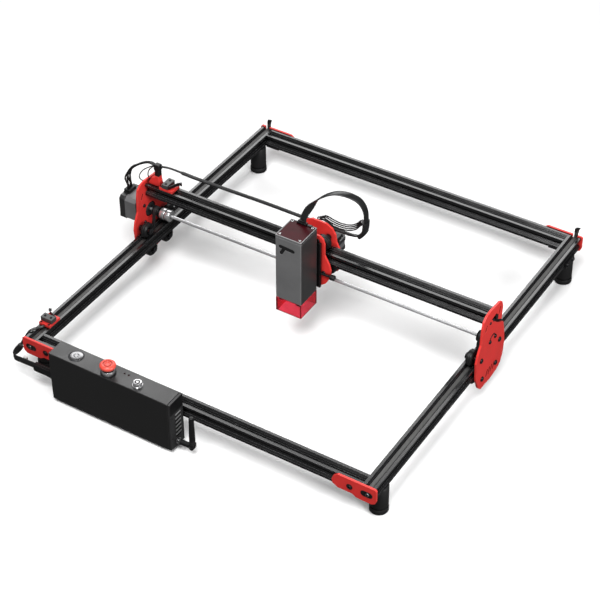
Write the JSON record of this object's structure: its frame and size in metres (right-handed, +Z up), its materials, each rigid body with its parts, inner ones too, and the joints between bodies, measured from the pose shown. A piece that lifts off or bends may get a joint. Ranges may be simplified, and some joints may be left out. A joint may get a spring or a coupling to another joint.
{
  "type": "laser engraver",
  "caption": "Open-frame gantry laser engraver: slotted rails on round feet, belt-driven gantry and carriage, height-adjustable laser head, and a front control box",
  "frame": {"origin": "middle of the overall box, on the floor that the feet stand on", "axes": "+X to the right seen from the control box, +Y to the back, +Z up"},
  "size_m": [0.6302, 0.668, 0.2529],
  "materials": {
    "belt_rubber": "matt",
    "black_plastic": "matt",
    "box_shell": "fine matt",
    "cable": "matt",
    "foot_rubber": "matt",
    "frame_black": "black anodised, satin",
    "head_cover": "satin dark red",
    "head_grey": "grey anodised, satin",
    "motor_black": "satin black",
    "red_paint": "gloss powder coat",
    "shield_acrylic": "clear red, gloss",
    "steel": "polished",
    "stop_red": "gloss",
    "switch_plastic": "matt",
    "wheel_plastic": "matt"
  },
  "bodies": {
    "frame": {"rail_left": "frame_black", "rail_right": "frame_black", "beam_front": "frame_black", "beam_back": "frame_black", "corner_plate_front_left": "red_paint", "corner_plate_front_right": "red_paint", "corner_plate_back_left": "red_paint", "corner_plate_back_right": "red_paint", "foot_front_left": "foot_rubber", "foot_front_right": "foot_rubber", "foot_back_left": "foot_rubber", "foot_back_right": "foot_rubber", "y_belt_left": "belt_rubber", "y_belt_right": "belt_rubber", "control_box": "box_shell", "control_box_end": "box_shell", "estop_base": "black_plastic", "box_cable": "cable", "y_limit_mount": "red_paint", "y_limit_switch": "switch_plastic"},
    "gantry": {"gantry_beam": "frame_black", "gantry_plate_left": "red_paint", "gantry_plate_right": "red_paint", "y_motor": "motor_black", "x_belt": "belt_rubber", "x_limit_mount": "red_paint", "x_limit_switch": "switch_plastic", "cable_bracket": "red_paint", "cable_loom": "cable"},
    "carriage": {"carriage_front_plate": "red_paint", "carriage_back_plate": "red_paint", "x_motor": "motor_black", "dovetail_bar": "frame_black", "head_loop": "cable"},
    "laser_head": {"laser_body": "head_grey", "laser_cover": "head_cover", "laser_shield": "shield_acrylic"},
    "drive_shaft": {"sync_shaft": "steel", "shaft_coupler": "steel"},
    "y_wheel_left_upper_front": {"y_wheel_left_upper_front": "wheel_plastic"},
    "y_wheel_left_upper_back": {"y_wheel_left_upper_back": "wheel_plastic"},
    "y_wheel_left_lower_front": {"y_wheel_left_lower_front": "wheel_plastic"},
    "y_wheel_left_lower_back": {"y_wheel_left_lower_back": "wheel_plastic"},
    "y_wheel_right_upper_front": {"y_wheel_right_upper_front": "wheel_plastic"},
    "y_wheel_right_upper_back": {"y_wheel_right_upper_back": "wheel_plastic"},
    "y_wheel_right_lower_front": {"y_wheel_right_lower_front": "wheel_plastic"},
    "y_wheel_right_lower_back": {"y_wheel_right_lower_back": "wheel_plastic"},
    "x_wheel_upper_left": {"x_wheel_upper_left": "wheel_plastic"},
    "x_wheel_upper_right": {"x_wheel_upper_right": "wheel_plastic"},
    "x_wheel_lower_left": {"x_wheel_lower_left": "wheel_plastic"},
    "x_wheel_lower_right": {"x_wheel_lower_right": "wheel_plastic"},
    "x_drive_pulley": {"x_pulley": "steel"},
    "lock_knob": {"lock_knob": "black_plastic"},
    "stop_button": {"estop_head": "stop_red"},
    "power_button": {"power_button": "steel"},
    "start_button": {"start_button": "steel"},
    "aerial_elbow": {"aerial_elbow": "black_plastic"},
    "aerial_whip": {"aerial_whip": "black_plastic"},
    "x_limit_lever": {"x_limit_lever": "steel"},
    "y_limit_lever": {"y_limit_lever": "steel"}
  },
  "joints": [
    {"name": "y_slide", "type": "slide", "parent": "frame", "child": "gantry", "axis": [0, 1, 0], "range_m": [-0.205, 0.205]},
    {"name": "x_slide", "type": "slide", "parent": "gantry", "child": "carriage", "axis": [1, 0, 0], "range_m": [-0.2, 0.2], "deforming": ["cable_loom"]},
    {"name": "laser_slide", "type": "slide", "parent": "carriage", "child": "laser_head", "axis": [0, 0, 1], "range_m": [-0.045, 0.03], "deforming": ["head_loop"]},
    {"name": "y_wheel_left_upper_front_spin", "type": "hinge", "parent": "gantry", "child": "y_wheel_left_upper_front", "pos_m": [-0.25985, -0.015, 0.0766], "axis": [1, 0, 0], "range_deg": [-1090, 1090]},
    {"name": "y_wheel_left_upper_back_spin", "type": "hinge", "parent": "gantry", "child": "y_wheel_left_upper_back", "pos_m": [-0.25985, 0.041, 0.0766], "axis": [1, 0, 0], "range_deg": [-1090, 1090]},
    {"name": "y_wheel_left_lower_front_spin", "type": "hinge", "parent": "gantry", "child": "y_wheel_left_lower_front", "pos_m": [-0.25985, -0.008, 0.0374], "axis": [1, 0, 0], "range_deg": [-1090, 1090]},
    {"name": "y_wheel_left_lower_back_spin", "type": "hinge", "parent": "gantry", "child": "y_wheel_left_lower_back", "pos_m": [-0.25985, 0.034, 0.0374], "axis": [1, 0, 0], "range_deg": [-1090, 1090]},
    {"name": "y_wheel_right_upper_front_spin", "type": "hinge", "parent": "gantry", "child": "y_wheel_right_upper_front", "pos_m": [0.30015, -0.015, 0.0766], "axis": [1, 0, 0], "range_deg": [-1090, 1090]},
    {"name": "y_wheel_right_upper_back_spin", "type": "hinge", "parent": "gantry", "child": "y_wheel_right_upper_back", "pos_m": [0.30015, 0.041, 0.0766], "axis": [1, 0, 0], "range_deg": [-1090, 1090]},
    {"name": "y_wheel_right_lower_front_spin", "type": "hinge", "parent": "gantry", "child": "y_wheel_right_lower_front", "pos_m": [0.30015, -0.008, 0.0374], "axis": [1, 0, 0], "range_deg": [-1090, 1090]},
    {"name": "y_wheel_right_lower_back_spin", "type": "hinge", "parent": "gantry", "child": "y_wheel_right_lower_back", "pos_m": [0.30015, 0.034, 0.0374], "axis": [1, 0, 0], "range_deg": [-1090, 1090]},
    {"name": "x_wheel_upper_left_spin", "type": "hinge", "parent": "carriage", "child": "x_wheel_upper_left", "pos_m": [0.00465, 0.013, 0.1566], "axis": [0, 1, 0], "range_deg": [-1090, 1090]},
    {"name": "x_wheel_upper_right_spin", "type": "hinge", "parent": "carriage", "child": "x_wheel_upper_right", "pos_m": [0.03865, 0.013, 0.1566], "axis": [0, 1, 0], "range_deg": [-1090, 1090]},
    {"name": "x_wheel_lower_left_spin", "type": "hinge", "parent": "carriage", "child": "x_wheel_lower_left", "pos_m": [-0.00635, 0.013, 0.1174], "axis": [0, 1, 0], "range_deg": [-1090, 1090]},
    {"name": "x_wheel_lower_right_spin", "type": "hinge", "parent": "carriage", "child": "x_wheel_lower_right", "pos_m": [0.04965, 0.013, 0.1174], "axis": [0, 1, 0], "range_deg": [-1090, 1090]},
    {"name": "drive_shaft_spin", "type": "hinge", "parent": "gantry", "child": "drive_shaft", "pos_m": [0.02015, 0.013, 0.095], "axis": [1, 0, 0], "range_deg": [-1850, 1850]},
    {"name": "x_pulley_spin", "type": "hinge", "parent": "carriage", "child": "x_drive_pulley", "pos_m": [0.0217, 0.0528, 0.137], "axis": [0, 0, 1], "range_deg": [-1850, 1850]},
    {"name": "lock_knob_turn", "type": "hinge", "parent": "carriage", "child": "lock_knob", "pos_m": [0.05015, -0.0074, 0.116], "axis": [1, 0, 0], "range_deg": [0, 720]},
    {"name": "stop_button_press", "type": "slide", "parent": "frame", "child": "stop_button", "axis": [0, 0, -1], "range_m": [0, 0.004]},
    {"name": "power_button_press", "type": "slide", "parent": "frame", "child": "power_button", "axis": [0, 0, -1], "range_m": [0, 0.002], "stiffness_N_per_m": 600, "springref_m": -0.0015},
    {"name": "start_button_press", "type": "slide", "parent": "frame", "child": "start_button", "axis": [0, 0, -1], "range_m": [0, 0.0025], "stiffness_N_per_m": 600, "springref_m": -0.0015},
    {"name": "aerial_swivel", "type": "hinge", "parent": "frame", "child": "aerial_elbow", "pos_m": [0.01165, -0.319, 0.015], "axis": [1, 0, 0], "range_deg": [-10, 90]},
    {"name": "aerial_fold", "type": "hinge", "parent": "aerial_elbow", "child": "aerial_whip", "pos_m": [0.03015, -0.319, 0.015], "axis": [0, 1, 0], "range_deg": [0, 90]},
    {"name": "x_limit_press", "type": "hinge", "parent": "gantry", "child": "x_limit_lever", "pos_m": [-0.22945, 0.0047, 0.155], "axis": [0, 0, 1], "range_deg": [0, 10], "stiffness_Nm_per_rad": 0.05, "springref_deg": -11.46},
    {"name": "y_limit_press", "type": "hinge", "parent": "frame", "child": "y_limit_lever", "pos_m": [-0.25125, -0.2536, 0.075], "axis": [0, 0, 1], "range_deg": [0, 10], "stiffness_Nm_per_rad": 0.05, "springref_deg": -11.46}
  ],
  "couplings": [
    {"joint": "y_wheel_left_upper_front_spin", "follows": "y_slide", "rad_per_m": -91.74},
    {"joint": "y_wheel_left_upper_back_spin", "follows": "y_slide", "rad_per_m": -91.74},
    {"joint": "y_wheel_left_lower_front_spin", "follows": "y_slide", "rad_per_m": 91.74},
    {"joint": "y_wheel_left_lower_back_spin", "follows": "y_slide", "rad_per_m": 91.74},
    {"joint": "y_wheel_right_upper_front_spin", "follows": "y_slide", "rad_per_m": -91.74},
    {"joint": "y_wheel_right_upper_back_spin", "follows": "y_slide", "rad_per_m": -91.74},
    {"joint": "y_wheel_right_lower_front_spin", "follows": "y_slide", "rad_per_m": 91.74},
    {"joint": "y_wheel_right_lower_back_spin", "follows": "y_slide", "rad_per_m": 91.74},
    {"joint": "x_wheel_upper_left_spin", "follows": "x_slide", "rad_per_m": 91.74},
    {"joint": "x_wheel_upper_right_spin", "follows": "x_slide", "rad_per_m": 91.74},
    {"joint": "x_wheel_lower_left_spin", "follows": "x_slide", "rad_per_m": -91.74},
    {"joint": "x_wheel_lower_right_spin", "follows": "x_slide", "rad_per_m": -91.74},
    {"joint": "drive_shaft_spin", "follows": "y_slide", "rad_per_m": 156.25},
    {"joint": "x_pulley_spin", "follows": "x_slide", "rad_per_m": 156.25}
  ]
}
